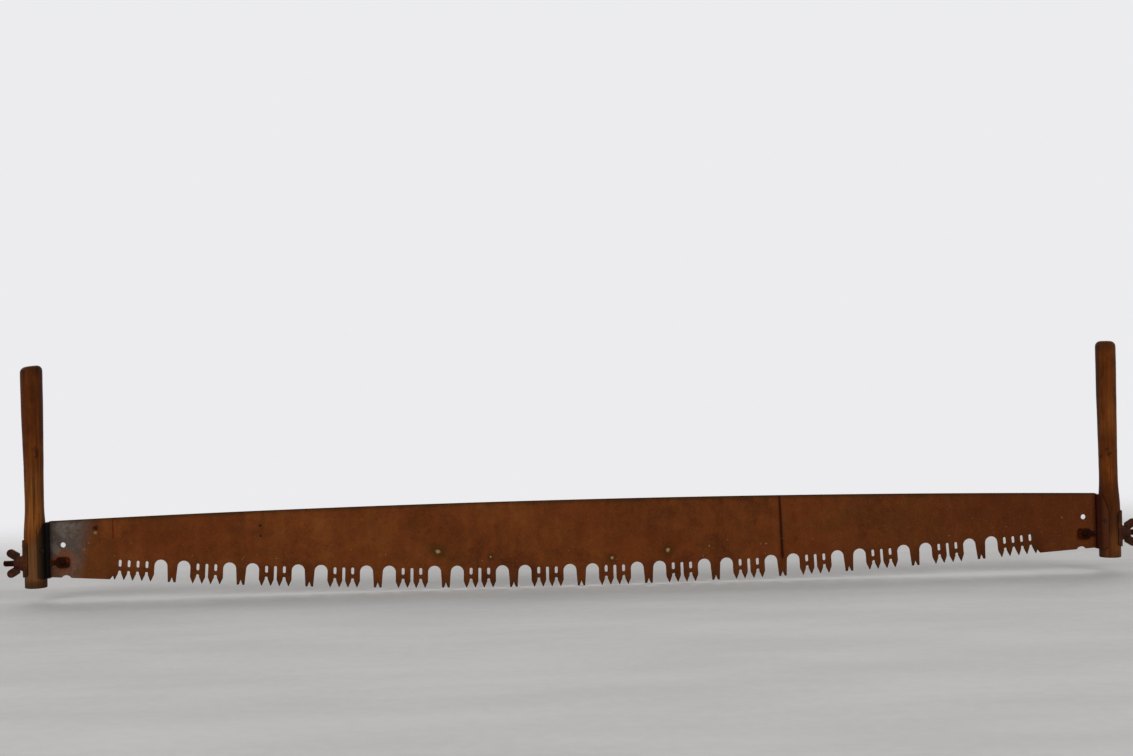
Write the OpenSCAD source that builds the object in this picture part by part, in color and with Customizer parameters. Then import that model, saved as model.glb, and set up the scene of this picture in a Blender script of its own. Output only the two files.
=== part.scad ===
// Two-man crosscut saw: a toothed steel plate with a wooden handle drawn onto each end.
// Each handle is held by a slotted bolt that straddles the plate, a cross pin through both,
// and a wing nut on the outside that pulls the plate's end into a grooved iron guard.
// Millimetres. X runs along the blade, Z is up, Y goes through the plate.
// The origin lies under the middle of the blade, level with the lowest tooth points.

/* [Plate] */
// Length of the plate between its end edges
plate_length = 1676; // [1600:1:1800]
// Thickness of the plate
plate_thickness = 2.1; // [1.6:0.1:3]
// Height from the lowest tooth points to the top of the back
plate_height = 137.5; // [132:0.5:146]
// Rise of the curved back from its ends to its middle
back_crown = 12; // [6:0.5:18]
// Height of the plate's end edges
end_height = 88; // [84:0.5:92]
// Radius of the two corners of the back
back_corner_radius = 4; // [1:0.5:8]
// Radius of the round notch under each end
notch_radius = 9; // [6:0.5:12]
// Depth of the round notch under each end
notch_depth = 4; // [2:0.5:6]
// Distance of the round notch from the end of the plate
notch_inset = 27; // [24:0.5:32]

/* [Teeth] */
// Distance between rakers along the tooth line
raker_pitch = 108; // [104:0.5:114]
// Least length of the plain edge between the teeth and each end of the plate
least_plain_end = 85; // [75:1:93]
// Rise of the tooth line from its middle to its ends
tooth_line_rise = 31.5; // [26:0.5:36]
// Distance between cutter points within a group
cutter_pitch = 14; // [13:0.1:15]
// Width of the slots between cutters
slot_width = 4.6; // [3.6:0.1:5.4]
// Height of the slots above the cutter points
slot_height = 31.5; // [28:0.5:34]
// Height of the gullets beside the rakers
gullet_height = 35; // [33:0.5:40]
// Height of the lower edge of the bridge between two cutters
bridge_bottom = 14.5; // [12.5:0.1:16]
// Height of the upper edge of the bridge between two cutters
bridge_top = 20.6; // [19:0.1:22]
// Height of the pointed part of a cutter
point_height = 10; // [7:0.1:11]
// Width of the blunt end of a cutter point
point_flat = 0.8; // [0.4:0.1:1.5]
// Width of the bevel filed along each side of a cutter point
point_bevel = 2.4; // [1:0.1:3]
// Thickness of the edge that the bevel leaves
point_land = 0.4; // [0.2:0.1:0.8]
// Width of a raker between its gullets
raker_width = 15.4; // [13:0.1:17]
// Width of a raker at its tips
raker_tip_width = 12; // [10:0.1:13]
// Width of the notch between a raker's two tips
raker_notch_width = 6; // [4.5:0.1:8]
// Depth of the notch between a raker's two tips
raker_notch_depth = 8; // [5:0.1:10]
// How far the rakers fall short of the cutter points
raker_drop = 0.4; // [0.2:0.1:0.8]
// Distance from the last cutter point to the plain edge
toe_gap = 7.5; // [6:0.1:9]
// Depth of the notch between the last cutter and the plain edge
toe_notch_depth = 6; // [4:0.1:8]

/* [Handle] */
// Length of the wooden handle
grip_length = 351; // [320:1:380]
// Height of the handle's lower end above the lowest tooth points
grip_bottom = 21; // [15:0.5:26]
// Diameter of the handle's lower end, inside the iron fittings
butt_diameter = 34.6; // [32.5:0.1:38]
// Length of the handle's lower end at that diameter
butt_length = 84; // [80:0.5:96]
// Diameter of the handle at its waist
waist_diameter = 29.6; // [27:0.1:32.4]
// Distance of the waist from the handle's lower end
waist_height = 128; // [122:1:150]
// Diameter of the handle at its upper end
top_diameter = 34.4; // [31:0.1:40]
// Radius of the handle's rounded upper end
top_radius = 8; // [4:0.5:12]
// Size of the chamfer round the handle's lower end
butt_chamfer = 1.2; // [0.5:0.1:3]

/* [Guard and outer plate] */
// Height of the guard's lower end above the lowest tooth points
guard_bottom = 36; // [30:0.5:37]
// Height of the guard's upper end above the lowest tooth points
guard_top = 124; // [118:0.5:128]
// Wall of the guard round the handle
guard_wall = 2.6; // [2:0.1:4]
// Wall of the guard behind the end of the plate
guard_web = 2.7; // [2.2:0.1:4]
// How far the end of the plate sits in the guard's groove
groove_depth = 3.2; // [2:0.1:5]
// Width of the guard's rib that holds the groove
rib_width = 15; // [14:0.5:20]
// Angle that the guard and the outer plate reach to each side
wrap_angle = 65; // [60:1:75]
// How far the guard's upper end slopes back towards its edges
guard_taper = 28; // [20:0.5:34]
// How far the guard's lower end slopes back towards its edges
guard_foot_slope = 3; // [1:0.5:8]
// Height of the outer plate's lower end above the lowest tooth points
outer_plate_bottom = 39; // [36:0.5:42]
// Height of the outer plate's upper end above the lowest tooth points
outer_plate_top = 97; // [92:0.5:102]
// Wall of the outer plate
outer_plate_wall = 2.3; // [1.8:0.1:3.5]
// How far the outer plate's ends slope back towards its edges
outer_plate_slope = 5; // [2:0.5:8]
// Diameter of the flat seat on the outer plate
seat_diameter = 25; // [23:0.5:28]
// Height of the flat seat above the outer plate
seat_height = 1.3; // [0.8:0.1:2]

/* [Draw bolt and pin] */
// Height of the bolt's axis above the lowest tooth points
bolt_height = 60.5; // [58:0.5:63]
// Diameter of the bolt
bolt_diameter = 9.5; // [8:0.1:10]
// Diameter of the bolt's neck behind its eye
neck_diameter = 12; // [11:0.1:13]
// Height of the bolt's flattened neck
neck_height = 7; // [5:0.1:10]
// Length of the bolt's eye along the blade
eye_length = 20; // [17:0.5:24]
// Height of the bolt's eye
eye_height = 17; // [14:0.5:22]
// Radius of the corners of the bolt's eye
eye_corner_radius = 4; // [2:0.5:6]
// Thickness of the bolt's eye across both cheeks
eye_thickness = 11.5; // [9:0.1:13]
// Length of the bolt beyond the base of the wing nut
bolt_tail = 26.5; // [24:0.5:34]
// Size of the chamfer on the bolt's end
bolt_chamfer = 1; // [0.5:0.1:1.5]
// Distance of the pin hole from the end of the plate
pin_inset = 23; // [20:0.5:26]
// Diameter of the cross pin
pin_diameter = 7.9; // [6:0.1:9]
// Diameter of the cross pin's head
pin_head_diameter = 10.8; // [10:0.1:14]
// Height of the cross pin's head
pin_head_height = 3.2; // [2:0.1:5]
// Length of the cross pin beyond the far cheek
pin_tail = 1.6; // [0.5:0.1:4]
// Distance of the spare hole above the pin hole
spare_hole_rise = 27; // [24:0.5:32]

/* [Wing nut and washer] */
// Outer diameter of the washer
washer_diameter = 23; // [20:0.5:23]
// Thickness of the washer
washer_thickness = 2; // [1.5:0.1:3]
// Diameter of the nut's hub at its base
hub_base_diameter = 18.5; // [17:0.1:20]
// Diameter of the nut's hub at its outer end
hub_tip_diameter = 14.5; // [13.5:0.1:16]
// Height of the nut's hub
hub_height = 10; // [9:0.5:12]
// Angle between each wing and the bolt's axis
wing_lean = 31; // [25:1:40]
// Height of the wings' lower edges above the nut's base
wing_foot = 1.5; // [0.5:0.1:3]
// Distance of each wing's round end from the bolt's axis
wing_reach = 16; // [14:0.1:18]
// Height of each wing's round end above the nut's base
wing_rise = 15; // [13:0.1:18]
// Radius of each wing's round end
wing_radius = 6.5; // [5:0.1:7.5]
// Thickness of the wings
wing_thickness = 5; // [4:0.1:6.5]

/* [Wood screws] */
// Diameter of the screws' heads
screw_head_diameter = 7; // [6:0.1:8]
// Height of the screws' straight rim above the countersink
screw_rim = 0.6; // [0.3:0.1:0.9]
// Depth of the countersink's rim below the iron's outer face
screw_sink = 0.5; // [0.4:0.1:0.7]
// Depth of the screws' countersunk heads
screw_head_depth = 1.8; // [1.2:0.1:2]
// Diameter of the screws' shanks
screw_diameter = 3.4; // [2.6:0.1:4]
// Length of the screws' shanks below the head
screw_length = 12.5; // [8:0.5:14]
// Width of the screws' driver slots
screw_slot_width = 0.9; // [0.6:0.1:1.2]
// Depth of the screws' driver slots
screw_slot_depth = 0.8; // [0.5:0.1:1]
// Distance of the guard's screws below its upper end
guard_screw_drop = 44; // [40:0.5:50]
// Angle of the guard's screws from the plane of the plate
guard_screw_angle = 46; // [42:1:48]
// Distance of the outer plate's screw below its upper end
plate_screw_drop = 9; // [8:0.5:11]

/* [Clearances] */
// Gap on each side of the plate in the groove and in the bolt's slot
plate_clearance = 0.15; // [0.1:0.05:0.4]
// Gap between the end of the plate and the bottom of the groove
end_clearance = 0.1; // [0.05:0.05:0.3]
// Radial gap between the wood and the iron fittings
wood_clearance = 0.1; // [0.05:0.05:0.2]
// Radial gap between the bolt and the holes it slides in
bolt_clearance = 0.3; // [0.15:0.05:0.5]
// Radial gap between the bolt's thread and the wing nut
thread_clearance = 0.05; // [0.02:0.01:0.1]
// Radial gap between the cross pin and its holes
pin_clearance = 0.1; // [0.05:0.05:0.2]
// Radial gap between the screws and their holes
screw_clearance = 0.05; // [0.02:0.01:0.15]

/* [Hidden] */
$fn = 96;
// Straight steps in each of the very shallow arcs of the back and of the tooth line
arc_steps = 48;
// How far cutting shapes reach past the faces that they cut
overcut = 1;

back_end_height = plate_height - back_crown;
end_bottom = back_end_height - end_height;
half_length = plate_length / 2;
back_arc_radius = arc_radius(half_length, back_crown);

// Slots in a group of four cutters, and in the group of five at each end
group_slots = 3;
end_group_slots = 4;
cutter_width = cutter_pitch - slot_width;
group_half_width = (group_slots + 1) * cutter_pitch / 2 - slot_width / 2;
end_group_length = raker_pitch / 2 + (end_group_slots - 1.5) * cutter_pitch;
// As many rakers as the plate has room for
raker_count = 1 + floor(2 * (half_length - least_plain_end - end_group_length - toe_gap) / raker_pitch);
last_raker = (raker_count - 1) / 2 * raker_pitch;
first_end_slot = last_raker + raker_pitch / 2 - cutter_pitch;
last_point = last_raker + end_group_length;
toe = last_point + toe_gap;
tooth_arc_radius = arc_radius(toe, tooth_line_rise);
gullet_edge = raker_pitch / 2 - group_half_width;
gullet_radius = (gullet_edge - raker_width / 2) / 2;
gullet_centre = [raker_width / 2 + gullet_radius, gullet_height - gullet_radius];

guard_face = half_length - groove_depth;
wood_face = half_length + end_clearance + guard_web + wood_clearance;
grip_x = wood_face + butt_diameter / 2;
saddle_radius = butt_diameter / 2 + wood_clearance;
guard_radius = saddle_radius + guard_wall;
outer_plate_radius = saddle_radius + outer_plate_wall;
seat_face = grip_x + outer_plate_radius + seat_height;
nut_base = seat_face + washer_thickness;
bolt_end = nut_base + bolt_tail;
pin_x = half_length - pin_inset;
neck_end = half_length + end_clearance + guard_web;
pin_hole_diameter = pin_diameter + 2 * pin_clearance;
wood_bore_diameter = bolt_diameter + 2 * bolt_clearance;
guard_bore_diameter = neck_diameter + 2 * bolt_clearance;
guard_screw_height = guard_top - guard_screw_drop;
plate_screw_height = outer_plate_top - plate_screw_drop;

// Radius of the arc that rises by rise over half_chord
function arc_radius(half_chord, rise) = (half_chord * half_chord + rise * rise) / (2 * rise);

// Point of the curved back at that x
function on_back(x) =
    [x, plate_height - back_arc_radius + sqrt(back_arc_radius * back_arc_radius - x * x)];

// Point of the tooth line's arc at that x
function on_tooth_arc(x) =
    [x, tooth_arc_radius - sqrt(tooth_arc_radius * tooth_arc_radius - x * x)];

// Places a flat shape on the tooth line, along millimetres from the middle
module on_tooth_line(along) {
    translate([0, tooth_arc_radius])
        rotate(along / tooth_arc_radius * 180 / PI)
            translate([0, -tooth_arc_radius])
                children();
}

// The same for a solid that stands in the XZ plane
module standing_on_tooth_line(along) {
    translate([0, 0, tooth_arc_radius])
        rotate([0, -along / tooth_arc_radius * 180 / PI, 0])
            translate([0, 0, -tooth_arc_radius])
                children();
}

// Stands a flat XY shape up in the XZ plane, thickness thick about Y = 0
module standing(thick) {
    rotate([90, 0, 0])
        linear_extrude(height = thick, center = true)
            children();
}

// Slot with round ends from the height low to the height high
module round_slot(low, high) {
    translate([-slot_width / 2, low + slot_width / 2])
        square([slot_width, high - low - slot_width]);
    for (height = [low + slot_width / 2, high - slot_width / 2])
        translate([0, height])
            circle(d = slot_width, $fn = 24);
}

// Slot with a round upper end, open at the cutter points
module open_slot(high) {
    translate([-slot_width / 2, -overcut])
        square([slot_width, high - slot_width / 2 + overcut]);
    translate([0, high - slot_width / 2])
        circle(d = slot_width, $fn = 24);
}

// Flared mouth between the points of two neighbouring cutters
module point_mouth() {
    flare = (cutter_width - point_flat) / 2;
    polygon([
        [-slot_width / 2 - flare, -overcut],
        [slot_width / 2 + flare, -overcut],
        [slot_width / 2 + flare, 0],
        [slot_width / 2, point_height],
        [-slot_width / 2, point_height],
        [-slot_width / 2 - flare, 0]
    ]);
}

// Cut between two cutters that a bridge joins
module bridged_slot() {
    round_slot(bridge_top, slot_height);
    open_slot(bridge_bottom);
    point_mouth();
}

// Cut between two cutters with no bridge
module plain_slot() {
    open_slot(slot_height);
    point_mouth();
}

// Gullet between a raker and the cutter to its right
module gullet() {
    translate(gullet_centre)
        circle(r = gullet_radius);
    polygon([
        [raker_width / 2, gullet_centre.y],
        [raker_tip_width / 2, 0],
        [raker_tip_width / 2, -overcut],
        [gullet_edge + (cutter_width - point_flat) / 2, -overcut],
        [gullet_edge + (cutter_width - point_flat) / 2, 0],
        [gullet_edge, point_height],
        [gullet_edge, gullet_centre.y]
    ]);
}

// Notch that leaves a raker two tips, both a little short of the cutter points
module raker_notch() {
    polygon([
        [-raker_notch_width / 2, raker_drop],
        [-raker_tip_width / 2 - overcut, raker_drop],
        [-raker_tip_width / 2 - overcut, -overcut],
        [raker_tip_width / 2 + overcut, -overcut],
        [raker_tip_width / 2 + overcut, raker_drop],
        [raker_notch_width / 2, raker_drop],
        [0, raker_drop + raker_notch_depth]
    ]);
}

// Notch between the last cutter and the plain edge, to the right of that cutter's point
module toe_notch() {
    lean = (cutter_width - point_flat) / 2 / point_height;
    polygon([
        [point_flat / 2, -overcut],
        [toe_gap, -overcut],
        [toe_gap, 0],
        [point_flat / 2 + lean * toe_notch_depth, toe_notch_depth],
        [point_flat / 2, 0]
    ]);
}

// Everything that is cut out of the plate's toothed edge
module tooth_cuts() {
    for (raker = [0 : raker_count - 1])
        on_tooth_line((raker - (raker_count - 1) / 2) * raker_pitch) {
            gullet();
            mirror([1, 0])
                gullet();
            raker_notch();
        }
    for (group = [0 : raker_count - 2], slot = [-1 : 1])
        on_tooth_line((group - (raker_count - 2) / 2) * raker_pitch + slot * cutter_pitch)
            if (slot == 0)
                plain_slot();
            else
                bridged_slot();
    for (side = [0, 1])
        mirror([side, 0]) {
            for (slot = [0 : end_group_slots - 1])
                on_tooth_line(first_end_slot + slot * cutter_pitch)
                    bridged_slot();
            on_tooth_line(last_point)
                toe_notch();
        }
}

// Plate with its curved back, plain ends and holes, before the teeth are cut
module plate_blank() {
    heel_slope = (end_bottom - tooth_line_rise) / (half_length - toe);
    difference() {
        polygon(concat(
            [for (step = [0 : arc_steps]) on_back((1 - 2 * step / arc_steps) * half_length)],
            [[-half_length, end_bottom], [-toe, tooth_line_rise]],
            [for (step = [1 : arc_steps - 1]) on_tooth_arc((2 * step / arc_steps - 1) * toe)],
            [[toe, tooth_line_rise], [half_length, end_bottom]]
        ));
        for (side = [0, 1])
            mirror([side, 0]) {
                translate([
                    half_length - notch_inset,
                    end_bottom - heel_slope * notch_inset + notch_depth - notch_radius
                ])
                    circle(r = notch_radius);
                for (height = [bolt_height, bolt_height + spare_hole_rise])
                    translate([pin_x, height])
                        circle(d = pin_hole_diameter);
                translate([half_length - back_corner_radius, back_end_height - back_corner_radius])
                    difference() {
                        square(back_corner_radius + overcut);
                        circle(r = back_corner_radius);
                    }
            }
    }
}

// Wedges filed off the flanks of one cutter point, from the face at face * Y
module point_bevels(face, flanks) {
    flare = (cutter_width - point_flat) / 2;
    flank_angle = atan2(flare, point_height);
    flank_length = norm([flare, point_height]);
    land = plate_thickness / 2 - point_land;
    for (flank = flanks)
        mirror([flank < 0 ? 1 : 0, 0, 0])
            translate([point_flat / 2, 0, 0])
                rotate([0, flank_angle, 0])
                    translate([0, 0, -overcut])
                        linear_extrude(height = flank_length + 2 * overcut)
                            polygon([
                                [0, -face * land],
                                [overcut, -face * land],
                                [overcut, face * (plate_thickness / 2 + overcut)],
                                [-point_bevel, face * (plate_thickness / 2 + overcut)],
                                [-point_bevel, face * plate_thickness / 2]
                            ]);
}

// Bevels of every cutter, filed on the two faces in turn
module all_point_bevels() {
    for (group = [0 : raker_count - 2], cutter = [0 : group_slots])
        standing_on_tooth_line(
            (group - (raker_count - 2) / 2) * raker_pitch + (cutter - group_slots / 2) * cutter_pitch
        )
            point_bevels(cutter % 2 == 0 ? 1 : -1, [-1, 1]);
    for (end = [-1, 1], cutter = [0 : end_group_slots])
        standing_on_tooth_line(end * (last_point - cutter * cutter_pitch))
            point_bevels(cutter % 2 == 0 ? 1 : -1, cutter == 0 ? [-end] : [-1, 1]);
}

module blade() {
    color("saddlebrown")
        difference() {
            standing(plate_thickness)
                difference() {
                    plate_blank();
                    tooth_cuts();
                }
            all_point_bevels();
        }
}

// Wooden handle, turned round its own axis, with holes for the bolt and the screws
module grip() {
    top_r = top_diameter / 2;
    color("sienna")
        difference() {
            translate([grip_x, 0, grip_bottom])
                rotate_extrude() {
                    polygon([
                        [0, 0],
                        [butt_diameter / 2 - butt_chamfer, 0],
                        [butt_diameter / 2, butt_chamfer],
                        [butt_diameter / 2, butt_length],
                        [waist_diameter / 2, waist_height],
                        [top_r, grip_length - top_radius],
                        [top_r - top_radius, grip_length - top_radius],
                        [top_r - top_radius, grip_length],
                        [0, grip_length]
                    ]);
                    translate([top_r - top_radius, grip_length - top_radius])
                        intersection() {
                            circle(r = top_radius);
                            square(top_radius);
                        }
                }
            along_bolt(wood_face - overcut, grip_x + butt_diameter / 2 + overcut, wood_bore_diameter);
            for (face = [-1, 1])
                at_guard_screw(face)
                    screw_hole();
            at_plate_screw()
                screw_hole();
        }
}

// Rod along the bolt's axis from the X of start to the X of stop
module along_bolt(start, stop, diameter) {
    translate([start, 0, bolt_height])
        rotate([0, 90, 0])
            cylinder(d = diameter, h = stop - start);
}

// Part of a ring about the handle that reaches wrap_angle to each side of +X
module ring_sector(inner, outer) {
    reach = 2 * outer;
    intersection() {
        difference() {
            circle(r = outer);
            circle(r = inner);
        }
        polygon([[0, 0], reach * [cos(wrap_angle), sin(wrap_angle)], [reach, reach],
            [reach, -reach], reach * [cos(wrap_angle), -sin(wrap_angle)]]);
    }
}

// Side outline of an iron fitting of that radius, with ends that slope back over its sides
module sloped_outline(bottom, top, radius, bottom_slope, top_slope) {
    edge = radius * cos(wrap_angle);
    shoulder = radius * cos(wrap_angle / 2);
    polygon([
        [edge - overcut, bottom + bottom_slope],
        [shoulder, bottom - overcut],
        [radius + neck_diameter, bottom - overcut],
        [radius + neck_diameter, top + overcut],
        [shoulder, top + overcut],
        [edge - overcut, top - top_slope]
    ]);
}

// Iron guard between the handle and the plate, with the groove that takes the plate's end
module guard() {
    height = guard_top - guard_bottom;
    groove_width = plate_thickness + 2 * plate_clearance;
    color([0.16, 0.14, 0.13])
        difference() {
            translate([grip_x, 0, 0])
                mirror([1, 0, 0])
                    intersection() {
                        translate([0, 0, guard_bottom])
                            linear_extrude(height = height) {
                                ring_sector(saddle_radius, guard_radius);
                                difference() {
                                    translate([0, -rib_width / 2])
                                        square([grip_x - guard_face, rib_width]);
                                    circle(r = saddle_radius);
                                }
                            }
                        standing(4 * guard_radius)
                            sloped_outline(guard_bottom, guard_top, guard_radius, guard_foot_slope,
                                guard_taper);
                    }
            translate([guard_face - overcut, -groove_width / 2, guard_bottom - overcut])
                cube([groove_depth + end_clearance + overcut, groove_width, height + 2 * overcut]);
            along_bolt(guard_face - overcut, grip_x, guard_bore_diameter);
            for (face = [-1, 1])
                at_guard_screw(face)
                    screw_hole();
        }
}

// Curved iron plate on the outside of the handle, with a flat seat for the washer
module outer_plate() {
    color([0.28, 0.16, 0.12])
        difference() {
            union() {
                translate([grip_x, 0, 0])
                    intersection() {
                        translate([0, 0, outer_plate_bottom])
                            linear_extrude(height = outer_plate_top - outer_plate_bottom)
                                ring_sector(saddle_radius, outer_plate_radius);
                        standing(4 * outer_plate_radius)
                            sloped_outline(outer_plate_bottom, outer_plate_top, outer_plate_radius,
                                outer_plate_slope, outer_plate_slope);
                    }
                difference() {
                    along_bolt(grip_x, seat_face, seat_diameter);
                    translate([grip_x, 0, 0])
                        cylinder(r = saddle_radius, h = outer_plate_top);
                }
            }
            along_bolt(grip_x, seat_face + overcut, wood_bore_diameter);
            at_plate_screw()
                screw_hole();
        }
}

// Side outline of the bolt's eye, centred on the pin
module eye_outline() {
    across = eye_length - 2 * eye_corner_radius;
    up = eye_height - 2 * eye_corner_radius;
    square([eye_length, up], center = true);
    square([across, eye_height], center = true);
    for (x = [-across / 2, across / 2], y = [-up / 2, up / 2])
        translate([x, y])
            circle(r = eye_corner_radius);
}

// Bolt with a slotted eye that straddles the plate
module draw_bolt() {
    slot_start = pin_x - eye_length / 2 - overcut;
    slot_end = half_length + end_clearance;
    neck_start = pin_x + eye_length / 2 - overcut;
    color([0.33, 0.18, 0.12])
        difference() {
            union() {
                translate([pin_x, 0, bolt_height])
                    standing(eye_thickness)
                        eye_outline();
                intersection() {
                    along_bolt(neck_start, neck_end, neck_diameter);
                    translate([neck_start, -neck_diameter, bolt_height - neck_height / 2])
                        cube([neck_end - neck_start, 2 * neck_diameter, neck_height]);
                }
                along_bolt(slot_end, bolt_end - bolt_chamfer, bolt_diameter);
                translate([bolt_end - bolt_chamfer, 0, bolt_height])
                    rotate([0, 90, 0])
                        cylinder(d1 = bolt_diameter, d2 = bolt_diameter - 2 * bolt_chamfer,
                            h = bolt_chamfer);
            }
            translate([slot_start, -plate_thickness / 2 - plate_clearance, bolt_height - eye_height])
                cube([slot_end - slot_start, plate_thickness + 2 * plate_clearance, 2 * eye_height]);
            translate([pin_x, 0, bolt_height])
                rotate([90, 0, 0])
                    cylinder(d = pin_hole_diameter, h = eye_thickness + 2 * overcut, center = true);
        }
}

// Headed pin through the bolt's cheeks and the plate, with its head to the front
module cross_pin() {
    seat = -eye_thickness / 2;
    color([0.30, 0.17, 0.12])
        translate([pin_x, seat, bolt_height])
            rotate([90, 0, 0]) {
                translate([0, 0, -eye_thickness - pin_tail])
                    cylinder(d = pin_diameter, h = eye_thickness + pin_tail);
                rotate_extrude()
                    pin_head_outline();
            }
}

// Half outline of the pin's domed head, which stands on the line y = 0
module pin_head_outline() {
    dome_radius = arc_radius(pin_head_diameter / 2, pin_head_height);
    intersection() {
        translate([0, pin_head_height - dome_radius])
            circle(r = dome_radius);
        square([pin_head_diameter / 2, pin_head_height]);
    }
}

module washer() {
    color([0.30, 0.20, 0.15])
        difference() {
            along_bolt(seat_face, nut_base, washer_diameter);
            along_bolt(seat_face - overcut, nut_base + overcut, wood_bore_diameter);
        }
}

// Wing nut with a tapered hub and two round-ended wings that lean outwards
module wing_nut() {
    bore = bolt_diameter + 2 * thread_clearance;
    color([0.26, 0.13, 0.10])
        difference() {
            union() {
                translate([nut_base, 0, bolt_height])
                    rotate([0, 90, 0])
                        cylinder(d1 = hub_base_diameter, d2 = hub_tip_diameter, h = hub_height);
                translate([nut_base, 0, bolt_height])
                    standing(wing_thickness)
                        for (side = [0, 1])
                            mirror([0, side])
                                wing_outline();
            }
            along_bolt(nut_base - overcut, nut_base + hub_height + wing_rise, bore);
        }
}

// One round-ended wing beside the bolt, with the nut's base on the line x = 0
module wing_outline() {
    translate([wing_rise, wing_reach])
        circle(r = wing_radius);
    difference() {
        translate([wing_rise, wing_reach])
            rotate(wing_lean)
                translate([-2 * wing_reach, -wing_radius])
                    square([2 * wing_reach, 2 * wing_radius]);
        translate([wing_foot - 4 * wing_reach, -4 * wing_reach])
            square([4 * wing_reach, 8 * wing_reach]);
    }
}

// Puts a screw's axis on the guard's cheek, +Z outwards, the countersink's rim at Z = 0
module at_guard_screw(face) {
    translate([grip_x, 0, guard_screw_height])
        rotate([0, 0, 180 - face * guard_screw_angle])
            translate([guard_radius - screw_sink, 0, 0])
                rotate([0, 90, 0])
                    children();
}

// Puts a screw's axis on the outer plate, +Z outwards, the countersink's rim at Z = 0
module at_plate_screw() {
    translate([grip_x + outer_plate_radius - screw_sink, 0, plate_screw_height])
        rotate([0, 90, 0])
            children();
}

// Countersunk screw turned round its own axis, larger all round by grow, its head up to rise
module screw_body(grow, rise) {
    shank_r = screw_diameter / 2 + grow;
    head_r = screw_head_diameter / 2 + grow;
    rotate_extrude()
        polygon([
            [0, -screw_head_depth - screw_length - grow],
            [shank_r, -screw_head_depth - screw_length - grow],
            [shank_r, -screw_head_depth],
            [head_r, 0],
            [head_r, rise],
            [0, rise]
        ]);
}

// Hole for a countersunk screw, open above its head
module screw_hole() {
    screw_body(screw_clearance, overcut);
}

module wood_screw() {
    color([0.35, 0.25, 0.18])
        difference() {
            screw_body(0, screw_rim);
            translate([-screw_head_diameter, -screw_slot_width / 2, screw_rim - screw_slot_depth])
                cube([2 * screw_head_diameter, screw_slot_width, screw_slot_depth + overcut]);
        }
}

module guard_screw(face) {
    at_guard_screw(face)
        wood_screw();
}

module plate_screw() {
    at_plate_screw()
        wood_screw();
}

// The fittings are drawn at the right end, and the left end is their mirror image
module left() {
    mirror([1, 0, 0])
        children();
}

blade();

left() grip();  // left_grip
left() guard();  // left_guard
left() outer_plate();  // left_outer_plate
left() draw_bolt();  // left_draw_bolt
left() cross_pin();  // left_cross_pin
left() washer();  // left_washer
left() wing_nut();  // left_wing_nut
left() guard_screw(-1);  // left_guard_screw_front
left() guard_screw(1);  // left_guard_screw_back
left() plate_screw();  // left_plate_screw

grip();  // right_grip
guard();  // right_guard
outer_plate();  // right_outer_plate
draw_bolt();  // right_draw_bolt
cross_pin();  // right_cross_pin
washer();  // right_washer
wing_nut();  // right_wing_nut
guard_screw(-1);  // right_guard_screw_front
guard_screw(1);  // right_guard_screw_back
plate_screw();  // right_plate_screw
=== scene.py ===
import math

import bpy
from mathutils import Matrix, Vector


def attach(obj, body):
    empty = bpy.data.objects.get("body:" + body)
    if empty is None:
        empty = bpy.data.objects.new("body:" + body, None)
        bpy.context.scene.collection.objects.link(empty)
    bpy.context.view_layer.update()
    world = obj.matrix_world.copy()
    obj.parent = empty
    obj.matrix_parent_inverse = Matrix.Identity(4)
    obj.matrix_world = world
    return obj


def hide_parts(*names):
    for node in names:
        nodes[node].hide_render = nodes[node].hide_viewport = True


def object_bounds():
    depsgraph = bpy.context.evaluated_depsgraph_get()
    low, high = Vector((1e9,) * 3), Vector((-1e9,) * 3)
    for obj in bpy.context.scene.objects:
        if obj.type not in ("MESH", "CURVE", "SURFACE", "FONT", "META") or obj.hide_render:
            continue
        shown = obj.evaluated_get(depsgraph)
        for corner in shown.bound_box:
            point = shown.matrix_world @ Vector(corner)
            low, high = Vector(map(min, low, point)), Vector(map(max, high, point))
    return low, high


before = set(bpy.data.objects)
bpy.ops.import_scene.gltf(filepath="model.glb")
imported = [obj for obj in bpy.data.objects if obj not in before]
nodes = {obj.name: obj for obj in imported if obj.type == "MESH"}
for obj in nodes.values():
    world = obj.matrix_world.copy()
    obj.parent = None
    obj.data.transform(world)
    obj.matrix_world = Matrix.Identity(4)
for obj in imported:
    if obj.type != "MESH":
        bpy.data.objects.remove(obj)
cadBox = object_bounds()
scene = bpy.context.scene
print("frame loaded:", len(nodes), "nodes")

# places shared by the pieces, in metres
plan = {
    "gripX": 0.8582,
    "gripBottom": 0.021,
    "boltHeight": 0.0605,
    "nutBase": 0.8812,
    "boltEnd": 0.9076,
    "pinX": 0.815,
    "backTop": 0.1375,
    "backCurve": 0.012 / 0.838 ** 2,           # the back drops 12 mm to the ends of the plate
    "toothCurve": 0.0315 / 0.7445 ** 2,        # the points rise 31.5 mm to the last of the teeth
    "mergeGap": 0.000001,
}
sides = {"left": -1, "right": 1}


# small helpers for operators

def clearPick():
    if bpy.context.object and bpy.context.object.mode != "OBJECT":
        bpy.ops.object.mode_set(mode="OBJECT")
    bpy.ops.object.select_all(action="DESELECT")


def pickOnly(piece):
    clearPick()
    piece.select_set(True)
    bpy.context.view_layer.objects.active = piece


def pickMesh(piece):                           # edit mode with the whole mesh picked
    pickOnly(piece)
    bpy.ops.object.mode_set(mode="EDIT")
    bpy.ops.mesh.select_all(action="SELECT")


def leaveMesh():
    bpy.ops.object.mode_set(mode="OBJECT")


def applied(piece, kind, **values):
    pickOnly(piece)
    made = piece.modifiers.new(kind.title(), kind)
    for key, value in values.items():
        setattr(made, key, value)
    bpy.ops.object.modifier_apply(modifier=made.name)


def unevenness(name, size, depth=2):
    texture = bpy.data.textures.new(name, "CLOUDS")
    texture.noise_scale = size
    texture.noise_depth = depth
    return texture


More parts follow.
